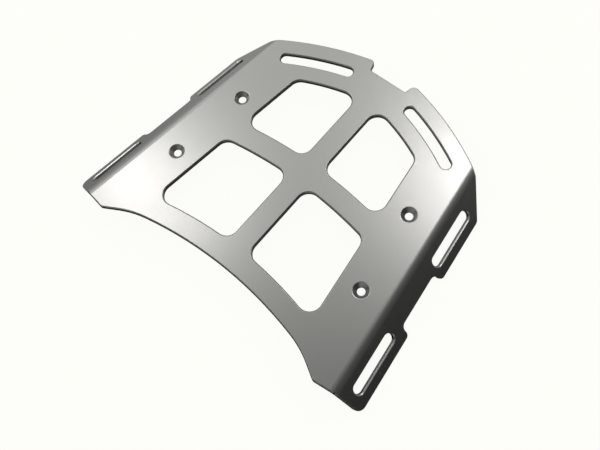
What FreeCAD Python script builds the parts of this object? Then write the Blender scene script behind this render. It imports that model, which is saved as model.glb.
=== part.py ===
import FreeCAD, Part
import math
import os

# Luggage rack plate for a motorcycle: one laser-cut aluminium sheet with both long sides folded down.
# Millimetres.  +X is the rider's right, +Y the rear, +Z up.  While it is built, x = 0 is the mirror
# line, y = 0 the middle of the four fixing holes and z = 0 the top face of the plate.  At the end the
# rack is moved so that it stands on its tab edges with the origin under the middle of its box.

# Sheet and folds
SHEET = 4.0                 # thickness of the aluminium
BEND_INSIDE = 7.0           # inside radius of the press-brake fold
FOLD = 41.0                 # degrees that each flange drops below the plate
TAPER = 7.5                 # degrees that every lengthways line opens toward the front
FOLD_HALF = 118.0           # x of the sharp fold line at y = 0
EDGE_BREAK = 0.9            # bevel along the upper cut edges, softened by blasting
LOWER_BREAK = 0.35          # small bevel along the lower ones

# Fixing holes for M6 countersunk screws
HOLE_SPACING_REAR = 178.0   # across, rear pair
HOLE_PITCH = 71.6           # front pair to rear pair
BORE = 6.6
SINK = 13.4                 # countersink diameter at the top face
RIM_BEVEL = 0.45            # flat bevel round the countersink, its width and its depth
RIM_BEVEL_DEPTH = 0.12
BORE_BREAK = 0.15           # bevel where each bore leaves the lower face

# Four windows either side of a cross of struts
STRUT = 20.0                # width of the lengthways strut
WINDOW_SIDE = 73.6          # x of the windows' outer line at y = 0
CROSS_REAR = 24.7           # y of the cross strut's rear edge on the axis, and its radius
CROSS_REAR_R = 408.0
CROSS_FRONT = 5.2
CROSS_FRONT_R = 394.0
WINDOW_FRONT = -67.7        # front edge of the front windows on the axis, and its radius
WINDOW_FRONT_R = 350.0
WINDOW_REAR_R = 201.0       # rear edge of the rear windows: an arc struck from across the axis
WINDOW_REAR_CENTRE = (-26.5, -102.0)
WINDOW_ROUND = 10.0         # corner radius of all four windows

# Rear edge, its two curved strap slots and the notch between them
REAR_R = 270.4
REAR_CENTRE = (-36.4, -131.8)
NOTCH_FLOOR = 122.7
NOTCH_HALF = 18.2
NOTCH_LEAN = 13.0           # degrees that the notch sides open toward the rear
NOTCH_ROUND = 4.8
NOTCH_FILLET = 1.0
SLOT_R = 251.5              # centreline, struck from the same centre as the rear edge
SLOT_FROM = 33.0            # x of the centres of its round ends
SLOT_TO = 84.8
SLOT_WIDTH = 9.2

# Front edge: one long hollow arc, a tighter shoulder and a straight run out to each corner
FRONT = -87.1
FRONT_R = 360.0
SHOULDER_X = 78.0           # where the long arc turns into the shoulder
SHOULDER_R = 85.0
SHOULDER_END = 29.5         # degrees to the X axis of the straight run
CORNER_ROUND = 5.0

# Flange outline, along the fold (u, zero at y = 0 and positive to the front) and down its face (v)
TAB_EDGE = 29.2
RECESS_EDGE = 20.2
REAR_CUT = (-97.0, 5.2)     # a point of the slanting rear end, and its angle to the fold
REAR_CUT_ANGLE = 40.0
REAR_CUT_ROUND = 2.0        # where the slant meets the curved rear edge
RECESS_FROM = -11.0
RECESS_TO = 39.0
FLANGE_FRONT = 110.1
TAB_ROUND = 4.0
TAB_ROUND_REAR = 6.0
TAB_ROUND_FRONT = 7.0
RECESS_FILLET = 5.0
FLANGE_SLOTS = ((-68.3, -16.0), (47.8, 100.2))
FLANGE_SLOT_V = 15.8
FLANGE_SLOT_WIDTH = 9.3

# Working room: cutters run this far past the rack, or past a corner of it
REACH = 200.0
DEEP = 40.0
WING = 60.0
STRIP = 10.0                # flat plate carried beside each fold until the parts are joined
SPARE = 8.0                 # extra flange below the tab edge, trimmed with the outline
UPPER_FACE = 0.7            # least upward part of a normal that lies on the plate, a fold or a flange
OVER = 1.0                  # how far the hole cutter passes each face

os.makedirs("parts", exist_ok=True)

UP = FreeCAD.Vector(0, 0, 1)
RIGHT = FreeCAD.Vector(1, 0, 0)
ZERO = FreeCAD.Vector(0, 0, 0)
LEAN = math.radians(TAPER)
DROP = math.radians(FOLD)
ALONG = FreeCAD.Vector(math.sin(LEAN), -math.cos(LEAN), 0)
ACROSS = FreeCAD.Vector(math.cos(LEAN), math.sin(LEAN), 0)
FOLD_ORIGIN = FreeCAD.Vector(FOLD_HALF, 0, 0)


def mirrored(shape):
    """The same shape on the other side of the rack."""
    return shape.mirror(ZERO, RIGHT)


def both(shape):
    return [shape, mirrored(shape)]


def prism(points, low=-DEEP, high=DEEP):
    """A straight-sided block over a plan polygon."""
    corners = [FreeCAD.Vector(x, y, low) for x, y in points]
    face = Part.Face(Part.makePolygon(corners + corners[:1]))
    return face.extrude(UP * (high - low))


def disc(centre, radius, low=-DEEP, high=DEEP):
    """A round block standing on a plan circle."""
    foot = FreeCAD.Vector(centre[0], centre[1], low)
    return Part.makeCylinder(radius, high - low, foot, UP)


def rounded_wire(corners, place):
    """A closed wire through corners given as (a, b, radius), each rounded by a tangent arc."""
    points = [FreeCAD.Vector(a, b, 0) for a, b, _ in corners]
    count = len(points)
    starts, middles, ends = [], [], []
    for i, (_, _, radius) in enumerate(corners):
        here = points[i]
        back = (points[i - 1] - here).normalize()
        ahead = (points[(i + 1) % count] - here).normalize()
        half = back.getAngle(ahead) / 2
        toward = (back + ahead).normalize()
        starts.append(here + back * (radius / math.tan(half)))
        ends.append(here + ahead * (radius / math.tan(half)))
        middles.append(here + toward * (radius / math.sin(half) - radius))
    edges = []
    for i in range(count):
        if corners[i][2] > 0:
            edges.append(Part.Arc(place(starts[i]), place(middles[i]), place(ends[i])).toShape())
        onward = starts[(i + 1) % count]
        if ends[i].distanceToPoint(onward) > 1e-6:
            edges.append(Part.LineSegment(place(ends[i]), place(onward)).toShape())
    return Part.Wire(edges)


def upright_edges(shape, chosen):
    """The vertical edges of a plan cutter that the test picks by their x and y."""
    found = []
    for edge in shape.Edges:
        a, b = edge.Vertexes[0].Point, edge.Vertexes[-1].Point
        if abs(a.x - b.x) + abs(a.y - b.y) < 1e-6 and chosen(a.x, a.y):
            found.append(edge)
    return found


def side_line(half_at_zero, y):
    """x of a lengthways line that opens toward the front."""
    return half_at_zero - y * math.tan(LEAN)


def on_flange(u, v, n=0.0):
    """A point of the right flange: u along the fold, v down its top face, n out of the face."""
    down = ACROSS * math.cos(DROP) - UP * math.sin(DROP)
    out = ACROSS * math.sin(DROP) + UP * math.cos(DROP)
    return FOLD_ORIGIN + ALONG * u + down * v + out * n


def flange_block(corners):
    """A block with its sides square to the right flange, over a rounded outline in u and v."""
    wire = rounded_wire(corners, lambda p: on_flange(p.x, p.y, -DEEP))
    out = ACROSS * math.sin(DROP) + UP * math.cos(DROP)
    return Part.Face(wire).extrude(out * (2 * DEEP))


def folded_side():
    """The right fold with its flange, and a strip of the flat plate beside it."""
    outside = BEND_INSIDE + SHEET
    tangent = outside * math.tan(DROP / 2)
    reach = TAB_EDGE + SPARE

    def at(s, z):
        return FOLD_ORIGIN + ACROSS * s + UP * z

    def bend_point(radius, turn):
        return at(-tangent + radius * math.sin(turn), -outside + radius * math.cos(turn))

    def flange_point(v, n):
        return at(v * math.cos(DROP) + n * math.sin(DROP), -v * math.sin(DROP) + n * math.cos(DROP))

    top = Part.Arc(bend_point(outside, 0), bend_point(outside, DROP / 2), bend_point(outside, DROP))
    under = Part.Arc(
        bend_point(BEND_INSIDE, DROP), bend_point(BEND_INSIDE, DROP / 2), bend_point(BEND_INSIDE, 0)
    )
    corners = [
        at(-tangent, -SHEET),
        at(-STRIP, -SHEET),
        at(-STRIP, 0),
        at(-tangent, 0),
    ]
    flat = [Part.LineSegment(a, b).toShape() for a, b in zip(corners[:-1], corners[1:])]
    tip = [
        Part.LineSegment(bend_point(outside, DROP), flange_point(reach, 0)).toShape(),
        Part.LineSegment(flange_point(reach, 0), flange_point(reach, -SHEET)).toShape(),
        Part.LineSegment(flange_point(reach, -SHEET), bend_point(BEND_INSIDE, DROP)).toShape(),
    ]
    section = Part.Wire(flat + [top.toShape()] + tip + [under.toShape()])
    section.translate(ALONG * -REACH)
    return Part.Face(section).extrude(ALONG * (2 * REACH))


def flange_outline():
    """What the right flange keeps: two tabs with a recess between them and a slanting rear end."""
    slope = math.tan(math.radians(REAR_CUT_ANGLE))
    cut_u, cut_v = REAR_CUT
    top = -DEEP
    rear_top = cut_u + (top - cut_v) / slope
    rear_tab = cut_u + (TAB_EDGE - cut_v) / slope
    return flange_block([
        (rear_top, top, 0),
        (rear_tab, TAB_EDGE, TAB_ROUND_REAR),
        (RECESS_FROM, TAB_EDGE, TAB_ROUND),
        (RECESS_FROM, RECESS_EDGE, RECESS_FILLET),
        (RECESS_TO, RECESS_EDGE, RECESS_FILLET),
        (RECESS_TO, TAB_EDGE, TAB_ROUND),
        (FLANGE_FRONT, TAB_EDGE, TAB_ROUND_FRONT),
        (FLANGE_FRONT, top, 0),
    ])


def front_hollow():
    """The space under the front edge: long arc, two shoulders and straight runs to the corners."""
    centre = FreeCAD.Vector(0, FRONT - FRONT_R, 0)

    def ray(degrees_from_y):
        a = math.radians(degrees_from_y)
        return FreeCAD.Vector(math.sin(a), math.cos(a), 0)

    turn = math.degrees(math.asin(SHOULDER_X / FRONT_R))
    shoulder = centre + ray(turn) * (FRONT_R - SHOULDER_R)
    join = centre + ray(turn) * FRONT_R
    bulge = shoulder + ray((turn + SHOULDER_END) / 2) * SHOULDER_R
    leave = shoulder + ray(SHOULDER_END) * SHOULDER_R
    away = leave + ray(SHOULDER_END + 90) * WING

    def flip(p):
        return FreeCAD.Vector(-p.x, p.y, p.z)

    crown = centre + ray(0) * FRONT_R
    edges = [
        Part.LineSegment(flip(away), flip(leave)).toShape(),
        Part.Arc(flip(leave), flip(bulge), flip(join)).toShape(),
        Part.Arc(flip(join), crown, join).toShape(),
        Part.Arc(join, bulge, leave).toShape(),
        Part.LineSegment(leave, away).toShape(),
        Part.LineSegment(away, flip(away)).toShape(),
    ]
    wire = Part.Wire(edges)
    wire.translate(UP * -DEEP)
    return Part.Face(wire).extrude(UP * (2 * DEEP))


def plan_outline():
    """The outline seen from above, before the flanges are trimmed."""
    front = FOLD_ORIGIN + ALONG * FLANGE_FRONT
    middle = front - ACROSS * (front.x / ACROSS.x)
    wing = front + ACROSS * WING
    block = prism([(0, middle.y), (wing.x, wing.y), (wing.x, REACH), (-wing.x, REACH), (-wing.x, wing.y)])
    block = block.common(disc(REAR_CENTRE, REAR_R)).common(mirrored(disc(REAR_CENTRE, REAR_R)))
    block = block.cut(front_hollow())
    corners = upright_edges(block, lambda x, y: abs(x) > SHOULDER_X + 20 and y < FRONT)
    block = block.makeFillet(CORNER_ROUND, corners)
    open_by = (REACH - NOTCH_FLOOR) * math.tan(math.radians(NOTCH_LEAN))
    notch = prism([
        (-NOTCH_HALF, NOTCH_FLOOR),
        (NOTCH_HALF, NOTCH_FLOOR),
        (NOTCH_HALF + open_by, REACH),
        (-NOTCH_HALF - open_by, REACH),
    ])
    block = block.cut(notch)
    floor = upright_edges(block, lambda x, y: abs(x) < 2 * NOTCH_HALF and abs(y - NOTCH_FLOOR) < 1e-3)
    block = block.makeFillet(NOTCH_FILLET, floor)
    tips = upright_edges(block, lambda x, y: abs(x) < 2 * NOTCH_HALF and y > NOTCH_FLOOR + 4)
    return block.makeFillet(NOTCH_ROUND, tips)


def folded_blank():
    """Plate and both folded sides as one sheet."""
    seam = FOLD_HALF - (BEND_INSIDE + SHEET) * math.tan(DROP / 2) / math.cos(LEAN)
    rear, front = REACH, -REACH
    right = [(side_line(seam, front), front), (side_line(seam, rear), rear)]
    left = [(-x, y) for x, y in reversed(right)]
    plate = prism(right + left, -SHEET, 0)
    sides = both(folded_side().common(flange_outline()))
    return plate.multiFuse(sides).common(plan_outline()).removeSplitter()


def window(rear_disc, front_disc):
    """One window cutter: strut side, tapered outer side, and an arc at each end."""
    block = prism([
        (STRUT / 2, -REACH / 2),
        (side_line(WINDOW_SIDE, -REACH / 2), -REACH / 2),
        (side_line(WINDOW_SIDE, REACH / 2), REACH / 2),
        (STRUT / 2, REACH / 2),
    ])
    block = block.common(rear_disc).cut(front_disc)
    return block.makeFillet(WINDOW_ROUND, upright_edges(block, lambda x, y: True))


def windows():
    def on_axis(y, radius):
        return disc((0, y - radius), radius)

    rear = window(disc(WINDOW_REAR_CENTRE, WINDOW_REAR_R), on_axis(CROSS_REAR, CROSS_REAR_R))
    front = window(on_axis(CROSS_FRONT, CROSS_FRONT_R), on_axis(WINDOW_FRONT, WINDOW_FRONT_R))
    return both(rear) + both(front)


def strap_slots():
    """Curved slots that follow the rear edge, with round ends."""
    centre = FreeCAD.Vector(REAR_CENTRE[0], REAR_CENTRE[1], 0)
    half = SLOT_WIDTH / 2
    start = math.asin((SLOT_FROM - centre.x) / SLOT_R)
    end = math.asin((SLOT_TO - centre.x) / SLOT_R)

    def at(radius, turn):
        return centre + FreeCAD.Vector(radius * math.sin(turn), radius * math.cos(turn), 0)

    def cap(turn, way):
        onward = FreeCAD.Vector(math.cos(turn), -math.sin(turn), 0)
        return at(SLOT_R, turn) + onward * (half * way)

    middle = (start + end) / 2
    edges = [
        Part.Arc(at(SLOT_R + half, start), at(SLOT_R + half, middle), at(SLOT_R + half, end)).toShape(),
        Part.Arc(at(SLOT_R + half, end), cap(end, 1), at(SLOT_R - half, end)).toShape(),
        Part.Arc(at(SLOT_R - half, end), at(SLOT_R - half, middle), at(SLOT_R - half, start)).toShape(),
        Part.Arc(at(SLOT_R - half, start), cap(start, -1), at(SLOT_R + half, start)).toShape(),
    ]
    wire = Part.Wire(edges)
    wire.translate(UP * -DEEP)
    return both(Part.Face(wire).extrude(UP * (2 * DEEP)))


def flange_slots():
    """Straight strap slots with round ends, one through each tab."""
    half = FLANGE_SLOT_WIDTH / 2
    low, high = FLANGE_SLOT_V - half, FLANGE_SLOT_V + half
    tools = []
    for near, far in FLANGE_SLOTS:
        corners = [(near, low, half), (far, low, half), (far, high, half), (near, high, half)]
        tools += both(flange_block(corners))
    return tools


def hole_places():
    rear = HOLE_SPACING_REAR / 2
    front = rear + HOLE_PITCH * math.tan(LEAN)
    return [(rear, HOLE_PITCH / 2), (front, -HOLE_PITCH / 2)]


def fixing_holes():
    """Clearance holes with 90 degree countersinks for flush screw heads, bevelled at both ends."""
    bore, rim = BORE / 2, SINK / 2
    profile = [
        (0, -SHEET - OVER),
        (bore + BORE_BREAK + OVER, -SHEET - OVER),
        (bore, -SHEET + BORE_BREAK),
        (bore, -(rim - bore)),
        (rim - RIM_BEVEL_DEPTH, -RIM_BEVEL_DEPTH),
        (rim - RIM_BEVEL_DEPTH + RIM_BEVEL, 0),
        (rim - RIM_BEVEL_DEPTH + RIM_BEVEL * (1 + OVER / RIM_BEVEL_DEPTH), OVER),
        (0, OVER),
    ]
    points = [FreeCAD.Vector(r, 0, z) for r, z in profile]
    cutter = Part.Face(Part.makePolygon(points + points[:1])).revolve(ZERO, UP, 360)
    tools = []
    for x, y in hole_places():
        placed = cutter.translated(FreeCAD.Vector(x, y, 0))
        tools += both(placed)
    return tools


def creases(shape, least, most, chosen=lambda first, second: True):
    """The edges whose two faces turn by between the two angles, in degrees."""
    found = []
    for edge in shape.Edges:
        faces = shape.ancestorsOfType(edge, Part.Face)
        if len(faces) != 2:
            continue
        point = edge.valueAt((edge.FirstParameter + edge.LastParameter) / 2)
        first, second = [face.normalAt(*face.Surface.parameter(point)) for face in faces]
        if least < math.degrees(first.getAngle(second)) < most and chosen(first, second):
            found.append(edge)
    return found


def rack_plate():
    """The whole rack: blank, openings, deburred cut edges, then the fixing holes."""
    rack = folded_blank()
    rack = rack.makeFillet(REAR_CUT_ROUND, creases(rack, 15, 60))
    rack = rack.cut(windows() + strap_slots() + flange_slots())
    upper = creases(rack, 60, 120, lambda first, second: max(first.z, second.z) > UPPER_FACE)
    rack = rack.makeChamfer(EDGE_BREAK, upper)
    lower = creases(rack, 60, 120, lambda first, second: min(first.z, second.z) < -UPPER_FACE)
    rack = rack.makeChamfer(LOWER_BREAK, lower)
    return rack.cut(fixing_holes()).Solids[0]


def stand_up(shape):
    """Moves the rack onto its tab edges with the origin under the middle of its box."""
    box = shape.optimalBoundingBox(False)
    move = FreeCAD.Vector(0, -(box.YMin + box.YMax) / 2, -box.ZMin)
    shape.translate(move)
    return move


rack = rack_plate()
move = stand_up(rack)
box = rack.optimalBoundingBox(False)
print(f"size {box.XLength:.2f} x {box.YLength:.2f} x {box.ZLength:.2f} mm, volume {rack.Volume:.0f} mm3")
print(f"moved by y {move.y:.3f}, z {move.z:.3f}; valid {rack.isValid()}")
for x, y in hole_places():
    print(f"fixing holes at x +-{x:.3f}, y {y + move.y:.3f}, top face z {move.z:.3f}")
rack.exportStep("parts/rack_plate.step")
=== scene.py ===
# %% [markdown]
# # A folded aluminium luggage rack
#
# The rack is one laser-cut sheet of 4 mm aluminium, folded down along both sides, bead blasted and
# anodised. Its shape was made as an exact solid, so Blender's work here is the finish, the light and the
# camera. The solid is loaded as a fixed frame: it is never moved or changed, only dressed.

import math

import bpy
from mathutils import Matrix, Vector

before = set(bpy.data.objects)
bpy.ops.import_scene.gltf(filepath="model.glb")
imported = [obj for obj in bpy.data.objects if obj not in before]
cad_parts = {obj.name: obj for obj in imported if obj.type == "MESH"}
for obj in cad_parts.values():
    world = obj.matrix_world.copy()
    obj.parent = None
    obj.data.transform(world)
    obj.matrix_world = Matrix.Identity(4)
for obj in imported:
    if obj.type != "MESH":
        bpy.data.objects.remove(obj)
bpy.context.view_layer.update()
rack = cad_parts["rack_plate"]
scene = bpy.context.scene

# %% [markdown]
# Every finish below is a small graph of nodes. It could be wired by hand in the shader editor, but a graph
# made in code can be read, compared and made again. These helpers keep that code short: they add a node
# with its settings, feed an input with a number or another node's output, and do a sum.

# %% Helpers for nodes
def add_node(tree, kind, label, **settings):
    """A labelled node of that kind, with its attributes set by keyword."""
    node = tree.nodes.new(kind)
    node.label = label
    for name, value in settings.items():
        setattr(node, name, value)
    return node


def feed(tree, socket, value):
    """Joins the value to an input if it is a socket, or else sets the input to it."""
    if isinstance(value, bpy.types.NodeSocket):
        tree.links.new(value, socket)
    else:
        socket.default_value = value


def math_node(tree, operation, label, first, second=0.0):
    """A Math node; each operand is a number or a socket."""
    node = add_node(tree, "ShaderNodeMath", label, operation=operation)
    feed(tree, node.inputs[0], first)
    feed(tree, node.inputs[1], second)
    return node.outputs["Value"]


print("helpers for nodes:", add_node.__name__, feed.__name__, math_node.__name__)

# %% [markdown]
# Two effects of this rack, its blasted skin and its cut walls, would suit other parts too. Copied nodes
# would soon differ from part to part, so each effect is a node group: it is built once, has named inputs
# for its sizes, and is placed in a material with that part's own values.

# %% Helpers for node groups
def new_group(name, inputs, outputs):
    """A node group with float inputs {title: value} and float outputs [title]."""
    group = bpy.data.node_groups.new(name, "ShaderNodeTree")
    for title, value in inputs.items():
        socket = group.interface.new_socket(title, in_out="INPUT", socket_type="NodeSocketFloat")
        socket.default_value = value
    for title in outputs:
        group.interface.new_socket(title, in_out="OUTPUT", socket_type="NodeSocketFloat")
    enter = add_node(group, "NodeGroupInput", "inputs")
    leave = add_node(group, "NodeGroupOutput", "outputs")
    return group, enter.outputs, leave.inputs


def place_group(tree, group, label, values):
    """The group as one node of a material, with its own input values."""
    node = add_node(tree, "ShaderNodeGroup", label, node_tree=group)
    for title, value in values.items():
        node.inputs[title].default_value = value
    return node


print("helpers for groups:", new_group.__name__, place_group.__name__)

# %% [markdown]
# ## Bead-blasted skin
#
# Before anodising, the sheet is blasted with fine glass beads. Each bead leaves a shallow dimple about a
# fifth of a millimetre across, and that is what turns a mirror into satin. Modelled dimples would need
# millions of faces, and a picture of them would stretch over the fold. So the skin is a height for a Bump
# node, made from noise in object space: fine noise for the dimples, and noise five beads wide for the
# uneven stream. A third, slow noise is a mask for the faint clouds that blasting by hand leaves.

# %% Node group: blasted skin
MM = 0.001
STREAM_IN_BEADS = 5.0

skin, skin_in, skin_out = new_group(
    "blasted_skin",
    {"Bead Size": 0.2 * MM, "Cloud Size": 50 * MM, "Coarse Share": 0.35},
    ["Height", "Clouds", "Grain"],
)
place = add_node(skin, "ShaderNodeTexCoord", "object space").outputs["Object"]


def noise_of_size(label, size, detail, roughness):
    """Noise in the skin whose cells are as large as the size socket says, in metres."""
    node = add_node(skin, "ShaderNodeTexNoise", label, noise_dimensions="3D")
    skin.links.new(place, node.inputs["Vector"])
    skin.links.new(math_node(skin, "DIVIDE", label + " per metre", 1.0, size), node.inputs["Scale"])
    node.inputs["Detail"].default_value = detail
    node.inputs["Roughness"].default_value = roughness
    return node.outputs["Fac"]


beads = noise_of_size("bead dimples", skin_in["Bead Size"], detail=2.0, roughness=0.6)
coarse_size = math_node(skin, "MULTIPLY", "uneven blasting size", skin_in["Bead Size"], STREAM_IN_BEADS)
coarse = noise_of_size("uneven blasting", coarse_size, detail=1.0, roughness=0.5)
clouds = noise_of_size("hand-blasted clouds", skin_in["Cloud Size"], detail=3.0, roughness=0.55)
uneven = math_node(skin, "MULTIPLY", "coarse share", coarse, skin_in["Coarse Share"])
skin.links.new(math_node(skin, "ADD", "skin height", beads, uneven), skin_out["Height"])
skin.links.new(clouds, skin_out["Clouds"])
skin.links.new(beads, skin_out["Grain"])
print("blasted skin:", len(skin.nodes), "nodes")

# %% [markdown]
# ## Laser-cut walls
#
# The outline, the windows and the slots were cut by a laser, square to the sheet. On the walls of a cut the
# beam leaves fine striations, and beads that come from above hardly reach them, so the walls are a little
# rougher than the faces and a little darker. Most of their near black, though, is painted shade: the walls
# face the shade under and round the rack, and that dark is put into their colour. They could be faces with a
# material of their own, but the solid isn't changed here, so the shader has to find them. On a wall, the
# surface normal lies in the plane of the sheet. The group measures how squarely the surface faces along each
# of the sheet's three directions, which are straight up and the way that each flange faces, and takes the
# largest.

# %% Node group: how squarely the surface faces off the sheet
FOLD = math.radians(41.0)
TAPER = math.radians(7.5)
FLANGE_OUT = Vector((math.sin(FOLD) * math.cos(TAPER), math.sin(FOLD) * math.sin(TAPER), math.cos(FOLD)))

walls, walls_in, walls_out = new_group("cut_walls", {"Striation Size": 0.4 * MM}, ["Wall", "Striation"])
normal = add_node(walls, "ShaderNodeNewGeometry", "surface").outputs["True Normal"]


def facing(direction, label):
    """How squarely the surface faces along the direction, either way: 1 on a face, 0 on a wall."""
    node = add_node(walls, "ShaderNodeVectorMath", label, operation="DOT_PRODUCT")
    walls.links.new(normal, node.inputs[0])
    node.inputs[1].default_value = direction
    return math_node(walls, "ABSOLUTE", label + " either way", node.outputs["Value"])


on_plate = facing(Vector((0, 0, 1)), "faces up or down")
on_right = facing(FLANGE_OUT, "faces off the right flange")
on_left = facing(Vector((-FLANGE_OUT.x, FLANGE_OUT.y, FLANGE_OUT.z)), "faces off the left flange")
on_sides = math_node(walls, "MAXIMUM", "either flange", on_right, on_left)
on_face = math_node(walls, "MAXIMUM", "any face of the sheet", on_plate, on_sides)
print("flange faces look along", tuple(round(c, 3) for c in FLANGE_OUT))

# %% [markdown]
# That measure becomes a mask: 0 on a face and 1 on a wall. A 45 degree bevel measures 0.707, and it was
# blasted as the faces were, so the mask starts just below that. The striations are noise that is drawn out
# along the beam, which is done by squeezing its place in height before the noise reads it.

# %% Node group: mask and striations of the walls
WALL_FROM, WALL_TO = 0.70, 0.665
STRIATION_SQUEEZE = (1.0, 1.0, 0.06)
STRIATION_DETAIL = 1.5

ramp = add_node(walls, "ShaderNodeMapRange", "wall where no face", interpolation_type="SMOOTHSTEP")
walls.links.new(on_face, ramp.inputs["Value"])
ramp.inputs["From Min"].default_value = WALL_FROM
ramp.inputs["From Max"].default_value = WALL_TO
walls.links.new(ramp.outputs["Result"], walls_out["Wall"])

wall_place = add_node(walls, "ShaderNodeTexCoord", "object space").outputs["Object"]
squeeze = add_node(walls, "ShaderNodeVectorMath", "drawn out along the beam", operation="MULTIPLY")
walls.links.new(wall_place, squeeze.inputs[0])
squeeze.inputs[1].default_value = STRIATION_SQUEEZE
streaks = add_node(walls, "ShaderNodeTexNoise", "striations")
walls.links.new(squeeze.outputs["Vector"], streaks.inputs["Vector"])
per_metre = math_node(walls, "DIVIDE", "striations per metre", 1.0, walls_in["Striation Size"])
walls.links.new(per_metre, streaks.inputs["Scale"])
streaks.inputs["Detail"].default_value = STRIATION_DETAIL
walls.links.new(streaks.outputs["Fac"], walls_out["Striation"])
print("cut walls:", len(walls.nodes), "nodes")

# %% [markdown]
# ## Anodised aluminium
#
# Clear anodising leaves the metal's own grey, slightly warm, with no paint on it. A grey plastic with a
# gloss coat would have that colour too, but it wouldn't pick up the room as satin metal does. So the finish
# is metal all through: Metallic 1 and a grey Base Color. The clouds move that grey by a few percent. On the
# cut walls it is near black, which is painted shade.

# %% Material: the colour of the metal
FACE_COLOUR = (0.57, 0.57, 0.55, 1)
CLOUD_COLOUR = (0.53, 0.53, 0.512, 1)
# Near black on the walls: a little of it is the cut metal's own darker tone, and most of it is painted shade.
WALL_SHADE_COLOUR = (0.05, 0.05, 0.048, 1)
MIX_COLOUR_A, MIX_COLOUR_B, MIX_COLOUR_OUT = 6, 7, 2

metal = bpy.data.materials.new("blasted_anodised_aluminium")
metal.use_nodes = True
graph = metal.node_tree
shader = graph.nodes["Principled BSDF"]
surface = place_group(graph, skin, "blasted skin", {"Bead Size": 0.22 * MM, "Cloud Size": 45 * MM})
cut = place_group(graph, walls, "cut walls", {"Striation Size": 0.35 * MM})


def mix_colours(label, factor, first, second):
    """A colour between two: each is a colour or a socket. A Mix node has its colour sockets by number."""
    node = add_node(graph, "ShaderNodeMix", label, data_type="RGBA")
    graph.links.new(factor, node.inputs["Factor"])
    feed(graph, node.inputs[MIX_COLOUR_A], first)
    feed(graph, node.inputs[MIX_COLOUR_B], second)
    return node.outputs[MIX_COLOUR_OUT]


clouded = mix_colours("clouds", surface.outputs["Clouds"], FACE_COLOUR, CLOUD_COLOUR)
# The walls' near black is mixed in here: painted shade over the metal's grey.
coloured = mix_colours("walls with painted shade", cut.outputs["Wall"], clouded, WALL_SHADE_COLOUR)
graph.links.new(coloured, shader.inputs["Base Color"])
shader.inputs["Metallic"].default_value = 1.0
print("base colour: faces", FACE_COLOUR[:3], "and walls", WALL_SHADE_COLOUR[:3])

# %% [markdown]
# The dimples are far too small to be seen one by one, but their slopes blur what the metal mirrors, and
# that blur is the shader's Roughness. One number for the whole face would look like plastic film. So the
# clouds and the grain swing it a little about the value that is named first, and the walls are rougher.

# %% Material: the satin sheen
ROUGHNESS = 0.30
ROUGHNESS_CLOUDS = 0.05
ROUGHNESS_GRAIN = 0.06
ROUGHNESS_WALL = 0.04
ROUGHNESS_BASE = ROUGHNESS - (ROUGHNESS_CLOUDS + ROUGHNESS_GRAIN) / 2

rough_clouds = math_node(graph, "MULTIPLY", "cloud roughness", surface.outputs["Clouds"], ROUGHNESS_CLOUDS)
rough_grain = math_node(graph, "MULTIPLY", "grain roughness", surface.outputs["Grain"], ROUGHNESS_GRAIN)
rough_wall = math_node(graph, "MULTIPLY", "wall roughness", cut.outputs["Wall"], ROUGHNESS_WALL)
rough = math_node(graph, "ADD", "clouds and grain", rough_clouds, rough_grain)
rough = math_node(graph, "ADD", "with walls", rough, rough_wall)
rough = math_node(graph, "ADD", "roughness", rough, ROUGHNESS_BASE)
graph.links.new(rough, shader.inputs["Roughness"])
print("roughness about", ROUGHNESS, "on the faces and", round(ROUGHNESS + ROUGHNESS_WALL, 2), "on the walls")

# %% [markdown]
# The relief is a few thousandths of a millimetre deep, so it is a bump and no shape. Blasting also hammers
# the cut edges round, over about a millimetre. The solid has a narrow flat bevel there, which alone would
# show as a hard facet, and a true rounding would need many thousands of small faces. So a Bevel node blends
# the normals across each edge: light rolls over it, and the outline stays as it was cut.

# %% Material: dimples, striations and rolled edges
BEAD_DEPTH = 0.004 * MM
EDGE_ROLL = 0.50 * MM
EDGE_SAMPLES = 8

streak_height = math_node(graph, "MULTIPLY", "streaks on walls", cut.outputs["Striation"], cut.outputs["Wall"])
relief = math_node(graph, "ADD", "relief", surface.outputs["Height"], streak_height)
rolled = add_node(graph, "ShaderNodeBevel", "edges rolled by the blasting", samples=EDGE_SAMPLES)
rolled.inputs["Radius"].default_value = EDGE_ROLL
bump = add_node(graph, "ShaderNodeBump", "dimples and striations")
graph.links.new(rolled.outputs["Normal"], bump.inputs["Normal"])
bump.inputs["Strength"].default_value = 1.0
bump.inputs["Distance"].default_value = BEAD_DEPTH
graph.links.new(relief, bump.inputs["Height"])
graph.links.new(bump.outputs["Normal"], shader.inputs["Normal"])

for slot in rack.material_slots:
    slot.material = metal
print("material slots dressed:", len(rack.material_slots))

# %% [markdown]
# ## The camera
#
# The photograph looks down on the rack from its front right, and the camera is tipped a little about its
# own line of sight. Placed by eye it would be close, but no edge would fall where it should. So its place,
# roll and focal length were fitted until the edges of the rack did. A camera in Blender looks along its own
# -Z, so it is turned to look at a point on the plate and then rolled about that line.

# %% Camera
CAMERA_PLACE = Vector((0.23941, -0.18583, 0.60861))
CAMERA_TARGET = Vector((0.02696, -0.03352, 0.02195))
CAMERA_ROLL = math.radians(-15.188)
SENSOR = 36.0
FOCAL_PIXELS = 815.149
PICTURE_WIDTH = 600
NEAR_CLIP, FAR_CLIP = 0.01, 100.0

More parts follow.
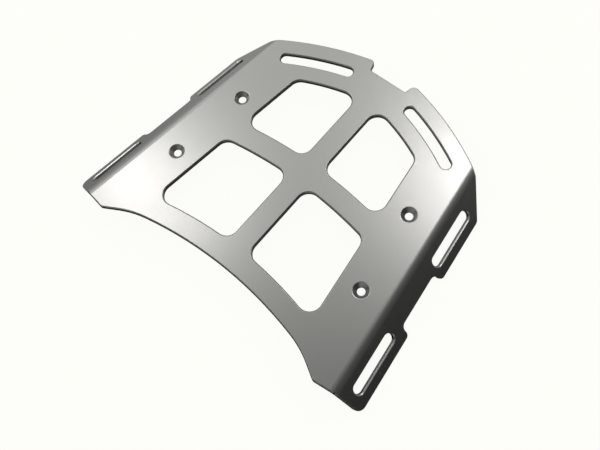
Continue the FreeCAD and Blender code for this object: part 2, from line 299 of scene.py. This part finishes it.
lens = bpy.data.cameras.new("camera")
lens.sensor_width = SENSOR
lens.lens = FOCAL_PIXELS * SENSOR / PICTURE_WIDTH
lens.clip_start, lens.clip_end = NEAR_CLIP, FAR_CLIP
camera = bpy.data.objects.new("camera", lens)
scene.collection.objects.link(camera)
sight = CAMERA_TARGET - CAMERA_PLACE
turn = sight.to_track_quat("-Z", "Y").to_matrix().to_4x4()
camera.matrix_world = Matrix.Translation(CAMERA_PLACE) @ turn @ Matrix.Rotation(CAMERA_ROLL, 4, "Z")
scene.camera = camera
down = math.degrees(math.asin(-sight.z / sight.length))
print("lens", round(lens.lens, 2), "mm, looking down at", round(down, 1), "degrees")

# %% [markdown]
# ## Floor
#
# The rack stands on plain warm white. Lamps alone would leave a white floor grey and uneven, and stronger
# lamps would burn out the metal. So the floor shines its own white wherever it is seen, by the camera or in
# a reflection, and is a pale matt sheet to all other light. A small share stays matt for the camera too, and
# that share shows the rack's soft shadow.

# %% Material: the white of the floor
PAGE_WHITE = (1.0, 1.0, 0.962, 1)
PAPER_COLOUR = (0.9, 0.895, 0.86, 1)
MATT_SHARE = 0.05


def seen_directly(tree):
    """1 for rays from the camera, off metal and through glass, 0 for the rest."""
    path = add_node(tree, "ShaderNodeLightPath", "kind of ray")
    shown = math_node(tree, "ADD", "or in metal", path.outputs["Is Camera Ray"], path.outputs["Is Glossy Ray"])
    shown = math_node(tree, "ADD", "or through glass", shown, path.outputs["Is Transmission Ray"])
    return math_node(tree, "MINIMUM", "at most one", shown, 1.0)


paper = bpy.data.materials.new("pale_floor")
paper.use_nodes = True
tree = paper.node_tree
matt = tree.nodes["Principled BSDF"]
matt.inputs["Base Color"].default_value = PAPER_COLOUR
matt.inputs["Roughness"].default_value = 1.0
matt.inputs["Specular IOR Level"].default_value = 0.0
glow = add_node(tree, "ShaderNodeEmission", "page white")
glow.inputs["Color"].default_value = PAGE_WHITE
share = math_node(tree, "MULTIPLY", "share that shines", seen_directly(tree), 1.0 - MATT_SHARE)
mixed = add_node(tree, "ShaderNodeMixShader", "shine over matt")
tree.links.new(share, mixed.inputs["Fac"])
tree.links.new(matt.outputs["BSDF"], mixed.inputs[1])
tree.links.new(glow.outputs["Emission"], mixed.inputs[2])
tree.links.new(mixed.outputs["Shader"], tree.nodes["Material Output"].inputs["Surface"])
print("floor white", PAGE_WHITE[:3], "with a matt share of", MATT_SHARE)

# %% [markdown]
# The floor itself is one large face. It lies a hair lower than the rack's feet, so that the two never share
# a height.

# %% Floor
FLOOR_SIZE = 6.0
FLOOR_DROP = 0.20 * MM


def flat_sheet(name, corners, finish):
    """One face through four corners, as an object of the scene."""
    mesh = bpy.data.meshes.new(name)
    mesh.from_pydata(corners, [], [(0, 1, 2, 3)])
    mesh.materials.append(finish)
    body = bpy.data.objects.new(name, mesh)
    scene.collection.objects.link(body)
    return body


half = FLOOR_SIZE / 2
floor = flat_sheet("floor", [(-half, -half, 0), (half, -half, 0), (half, half, 0), (-half, half, 0)], paper)
floor.location.z = -FLOOR_DROP
print("floor", FLOOR_SIZE, "m wide, lower than the rack by", round(FLOOR_DROP / MM, 2), "mm")

# %% [markdown]
# ## Surroundings
#
# Past the floor there is only a bright, even room. A picture of a studio could stand there, but it would
# bring shapes into the metal that this rack's photograph doesn't have. So the world is one white: full
# where it is seen, so that it runs into the floor, and a little weaker as light.

# %% World
AROUND = 0.75

world = bpy.data.worlds.new("surroundings")
scene.world = world
world.use_nodes = True
tree = world.node_tree
sky = tree.nodes["Background"]
sky.inputs["Color"].default_value = PAGE_WHITE
level = add_node(tree, "ShaderNodeMapRange", "white where seen")
tree.links.new(seen_directly(tree), level.inputs["Value"])
level.inputs["To Min"].default_value = AROUND
level.inputs["To Max"].default_value = 1.0
tree.links.new(level.outputs["Result"], sky.inputs["Strength"])
print("surroundings at", AROUND, "for soft light")

# %% [markdown]
# ## Soft boxes
#
# Satin metal shows what stands round it. In the photograph two bright patches show in the plate, one at the
# front left corner and one at the rear right, and they are soft boxes: large lamps behind white cloth. Spot
# lamps would give small glints, so each is an area lamp of the cloth's size. Its place comes from mirroring
# the camera's line of sight in the plate. What counts in a mirror is how bright the cloth looks, so that is
# the value given, and the lamp's watts follow from it and from the size.

# %% Soft boxes
ROOF_HEIGHT = 1.0
UNDER_ROOF = ROOF_HEIGHT - 0.01
BOX_LIGHT = 3.95
BOX_TINT = (1.0, 0.98, 0.985)


def soft_box(name, x, y, width, depth):
    """A rectangular area lamp just under the roof that faces straight down."""
    lamp = bpy.data.lights.new(name, "AREA")
    lamp.shape = "RECTANGLE"
    lamp.size, lamp.size_y = width, depth
    lamp.energy = BOX_LIGHT * width * depth * math.pi
    lamp.color = BOX_TINT
    body = bpy.data.objects.new(name, lamp)
    body.location = (x, y, UNDER_ROOF)
    body.visible_camera = False
    scene.collection.objects.link(body)
    print(name, round(lamp.energy, 2), "W")


soft_box("soft_box_left", x=-0.652, y=0.057, width=0.288, depth=0.228)
soft_box("soft_box_right", x=-0.050, y=0.587, width=0.336, depth=0.346)

# %% [markdown]
# ## A tent of grey cards
#
# Between the two patches the plate fades from mid grey at the left to near black at the right. More lamps
# wouldn't do that, because metal has no shade of its own: it mirrors the pale and dark cards that stand
# round a part like this when it is photographed. A picture wrapped round the scene would be endlessly far
# away and look the same from every spot of the plate, so these are cards at real distances. Only
# reflections see them: they don't show, light the floor or throw a shadow.

# %% Cards that only reflections see
CARD_TINT = (0.985, 1.0, 0.975, 1)
HIDDEN_FROM = ("camera", "diffuse", "shadow", "transmission", "volume_scatter")


def card(name, corners, grey, grey_to=None, fade=(0.0, 0.0), slant=0.0):
    """A card of one grey, or one that fades to a second grey while x - slant * y goes through fade."""
    ink = bpy.data.materials.new(name)
    ink.use_nodes = True
    tree = ink.node_tree
    glow = add_node(tree, "ShaderNodeEmission", "card's own grey")
    glow.inputs["Color"].default_value = CARD_TINT
    glow.inputs["Strength"].default_value = grey
    if grey_to is not None:
        spot = add_node(tree, "ShaderNodeTexCoord", "place on the card").outputs["Object"]
        axes = add_node(tree, "ShaderNodeSeparateXYZ", "axes")
        tree.links.new(spot, axes.inputs["Vector"])
        lean = math_node(tree, "MULTIPLY", "slant of the fade", axes.outputs["Y"], -slant)
        ramp = add_node(tree, "ShaderNodeMapRange", "fade", interpolation_type="SMOOTHSTEP")
        tree.links.new(math_node(tree, "ADD", "along the fade", axes.outputs["X"], lean), ramp.inputs["Value"])
        for title, value in zip(("From Min", "From Max", "To Min", "To Max"), (*fade, grey, grey_to)):
            ramp.inputs[title].default_value = value
        tree.links.new(ramp.outputs["Result"], glow.inputs["Strength"])
    tree.links.new(glow.outputs["Emission"], tree.nodes["Material Output"].inputs["Surface"])
    body = flat_sheet(name, corners, ink)
    for ray in HIDDEN_FROM:
        setattr(body, "visible_" + ray, False)


print("cards are hidden from:", ", ".join(HIDDEN_FROM))

# %% [markdown]
# Cards could be planes that are scaled and turned into place, but the way they stand is easier to read when
# each one is given by where its sides are. So one helper takes the sides of a card that lies level, and the
# other takes the two ends of a card that stands upright, with its foot and its top.

# %% Level and upright cards
def level_card(name, across, along, height, *greys, **fading):
    """A card that lies level, from left to right across and from front to rear along."""
    (left, right), (front, rear) = across, along
    corners = [(left, front, height), (right, front, height), (right, rear, height), (left, rear, height)]
    card(name, corners, *greys, **fading)


def upright_card(name, start, end, low, high, grey):
    """A card that stands upright between two points of the floor."""
    (ax, ay), (bx, by) = start, end
    card(name, [(ax, ay, low), (bx, by, low), (bx, by, high), (ax, ay, high)], grey)


print("helpers for cards:", level_card.__name__, upright_card.__name__)

# %% [markdown]
# ### The roof
#
# To the camera, the flat plate mirrors the roof to the left of the rack and behind it, so the long fade of
# the plate is in the roof, on a slant. Ahead of the rack, under the roof, hangs a bright strip. The flat
# plate doesn't mirror it, but edges that face forward do as they start to roll over, and it draws the thin
# light line along them.

# %% Roof and front strip
LEFT, RIGHT, FRONT, REAR = -2.0, 2.0, -2.0, 2.0
ROOF_GREYS = (0.71, 0.08)
ROOF_FADE = (-1.50, 0.65)
ROOF_SLANT = 0.70
STRIP_ACROSS, STRIP_ALONG = (-1.40, -0.05), (-1.10, -0.45)
STRIP_GREY = 1.15

roof_place = (LEFT, RIGHT), (FRONT, REAR), ROOF_HEIGHT
level_card("tent_roof", *roof_place, *ROOF_GREYS, fade=ROOF_FADE, slant=ROOF_SLANT)
level_card("front_strip", STRIP_ACROSS, STRIP_ALONG, UNDER_ROOF, STRIP_GREY)
print("roof", RIGHT - LEFT, "m wide and", ROOF_HEIGHT, "m up, greys", *ROOF_GREYS)

# %% [markdown]
# ### The walls
#
# Folds and edges turn away from the roof and mirror the walls. The left wall is grey. The right wall is
# almost black, and so are the right fold and the edges that face right. The front wall is pale above and
# dark at its foot, so that an edge that faces forward goes from light to dark as it rolls over. Two corners
# differ from the walls beside them. The front left one is dark, for edges that face that way. The front
# right one is pale, so that the plate isn't black all over to somebody who looks from behind.

# %% Walls of the tent
LEFT_GREY, RIGHT_GREY, FRONT_GREY, REAR_GREY = 0.37, 0.03, 0.35, 0.25
FOOT_HEIGHT, FOOT_GREY = 0.50, 0.03
DARK_FROM_LEFT, DARK_FROM_FRONT, DARK_GREY = -0.90, -1.30, 0.04
PALE_FROM_RIGHT, PALE_FROM_FRONT, PALE_GREY = -1.20, 0.50, 0.40

TALL = (0, ROOF_HEIGHT)
FRONT_START, FRONT_END = (DARK_FROM_FRONT, FRONT), (PALE_FROM_FRONT, FRONT)
upright_card("tent_left", (LEFT, DARK_FROM_LEFT), (LEFT, REAR), *TALL, LEFT_GREY)
upright_card("dark_corner_left", (LEFT, FRONT), (LEFT, DARK_FROM_LEFT), *TALL, DARK_GREY)
upright_card("dark_corner_front", (LEFT, FRONT), FRONT_START, *TALL, DARK_GREY)
upright_card("tent_right", (RIGHT, PALE_FROM_RIGHT), (RIGHT, REAR), *TALL, RIGHT_GREY)
upright_card("pale_corner_right", (RIGHT, FRONT), (RIGHT, PALE_FROM_RIGHT), *TALL, PALE_GREY)
upright_card("pale_corner_front", FRONT_END, (RIGHT, FRONT), *TALL, PALE_GREY)
upright_card("tent_rear", (LEFT, REAR), (RIGHT, REAR), *TALL, REAR_GREY)
upright_card("tent_front", FRONT_START, FRONT_END, FOOT_HEIGHT, ROOF_HEIGHT, FRONT_GREY)
upright_card("tent_front_foot", FRONT_START, FRONT_END, 0, FOOT_HEIGHT, FOOT_GREY)
print("walls: left", LEFT_GREY, "right", RIGHT_GREY, "front", FRONT_GREY, "rear", REAR_GREY)

# %% [markdown]
# ### Greys on the floor
#
# Edges that face away from the camera mirror the floor just past them, and on plain white they would all be
# white lines. So cards lie on the floor: a dark one all round, a grey one at the left that gets paler toward
# the rear, a pale one behind, and a dim one in the gap under the plate. The dim one is painted shadow: it
# stands for the rack's own shadow on the floor under the plate, which the metal mirrors. Two faces at one
# height would show as a random mix of both, so each card lies a hair above the one that it covers.

# %% Cards on the floor
REACH = 0.90
GAP_LEFT, GAP_RIGHT, GAP_FRONT, GAP_REAR = -0.128, 0.122, -0.100, 0.112
LEFT_CARD_FRONT = -0.14
AROUND_LEVEL, BESIDE_LEVEL, GAP_LEVEL = -0.16 * MM, -0.12 * MM, -0.06 * MM
AROUND_GREY, BEHIND_GREY, GAP_SHADOW_GREY = 0.04, 0.55, 0.22
LEFT_CARD_GREYS, LEFT_CARD_FADE, LEFT_CARD_SLANT = (0.40, 0.24), (-0.55, 0.10), 3.0

level_card("floor_dark", (-REACH, REACH), (-REACH, REACH), AROUND_LEVEL, AROUND_GREY)
left_place = (-REACH, GAP_LEFT), (LEFT_CARD_FRONT, REACH), BESIDE_LEVEL
level_card("floor_left", *left_place, *LEFT_CARD_GREYS, fade=LEFT_CARD_FADE, slant=LEFT_CARD_SLANT)
level_card("floor_rear", (GAP_LEFT, REACH), (GAP_REAR, REACH), BESIDE_LEVEL, BEHIND_GREY)
# Painted shadow: this dim card under the plate stands for the rack's shadow on the floor, as the metal mirrors
# it.
level_card("painted_shadow_under_rack", (GAP_LEFT, GAP_RIGHT), (GAP_FRONT, GAP_REAR), GAP_LEVEL, GAP_SHADOW_GREY)
print("floor cards reach", REACH, "m each way")

# %% [markdown]
# ## Finish
#
# The display transform is Standard, so a colour shows as it is written.

# %% Display
scene.view_settings.view_transform = "Standard"
